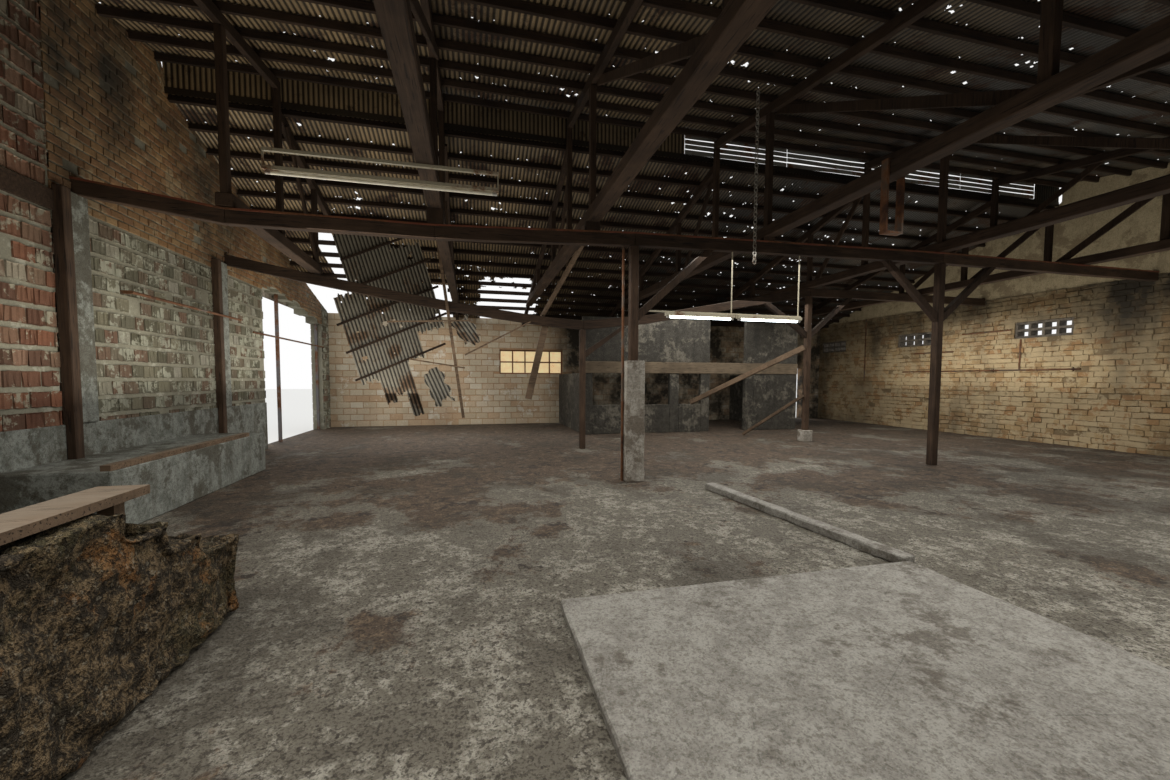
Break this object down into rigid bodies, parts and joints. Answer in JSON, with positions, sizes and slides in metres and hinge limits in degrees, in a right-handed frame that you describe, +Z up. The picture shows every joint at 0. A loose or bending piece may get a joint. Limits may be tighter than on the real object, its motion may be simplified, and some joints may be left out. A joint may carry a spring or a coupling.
{
  "type": "factory building",
  "caption": "Disused single-storey factory hall with masonry walls, timber trusses on braced posts and a corrugated roof that has partly come down.",
  "frame": {"origin": "centre of the footprint at the underside of the floor", "axes": "+X to the right seen from the entrance, +Y from the entrance to the back wall, +Z up"},
  "size_m": [19.76, 20.9508, 6.6747],
  "materials": {
    "worn_floor": "worn, dirty",
    "slab_concrete": "trowelled, stained",
    "red_brick": "rough, sooted",
    "brown_render": "rough",
    "cement": "rough",
    "old_wood": "weathered",
    "pale_wood": "weathered",
    "steel_bar": "flaking",
    "dirty_block": "sooted",
    "orange_block": "rough",
    "window_steel": "rusted",
    "dirty_glass": "dirty",
    "ochre_stone": "rough",
    "vent_concrete": "rough",
    "cream_render": "matt",
    "front_block": "rough",
    "plaster": "stained",
    "iron_beam": "stained",
    "casing_concrete": "rough",
    "rusty_sheet": "rusted",
    "louvre_metal": "dull",
    "lamp_tray": "dull",
    "lamp_tube": "frosted",
    "rusty_pipe": "rusted"
  },
  "bodies": {
    "root": {"floor_slab": "worn_floor", "raised_slab": "slab_concrete", "left_wall": "red_brick", "left_wall_head": "brown_render", "dado_and_pilasters": "cement", "opening_frame": "steel_bar", "low_bench": "cement", "broken_wall": "dirty_block", "back_wall": "orange_block", "back_wall_infill": "orange_block", "window_frame": "window_steel", "window_glass": "dirty_glass", "right_wall": "ochre_stone", "vent_course": "ochre_stone", "vent_slabs": "vent_concrete", "vent_fins": "vent_concrete", "right_wall_band": "cream_render", "front_wall": "front_block", "front_lintel": "cement", "store_walls": "plaster", "store_piers": "plaster", "store_lintel": "pale_wood", "front_beam": "iron_beam", "rear_beam": "iron_beam", "posts": "old_wood", "post_casings": "casing_concrete", "knee_braces": "old_wood", "tie_beams": "iron_beam", "front_rafters": "old_wood", "rear_rafters": "old_wood", "truss_posts": "old_wood", "truss_braces": "old_wood", "front_purlins": "old_wood", "rear_purlins": "old_wood", "front_sheets_low": "rusty_sheet", "front_sheets_mid": "rusty_sheet", "front_sheets_top": "rusty_sheet", "rear_sheets_top": "rusty_sheet", "rear_sheets_mid": "rusty_sheet", "rear_sheets_low": "rusty_sheet", "ridge_louvres": "louvre_metal", "hanging_sheets": "rusty_sheet", "hanging_battens": "old_wood", "fallen_timbers": "pale_wood", "strip_lights": "lamp_tray", "light_tubes": "lamp_tube", "wall_pipes": "rusty_pipe", "beam_hanger": "rusty_pipe"}
  },
  "joints": []
}
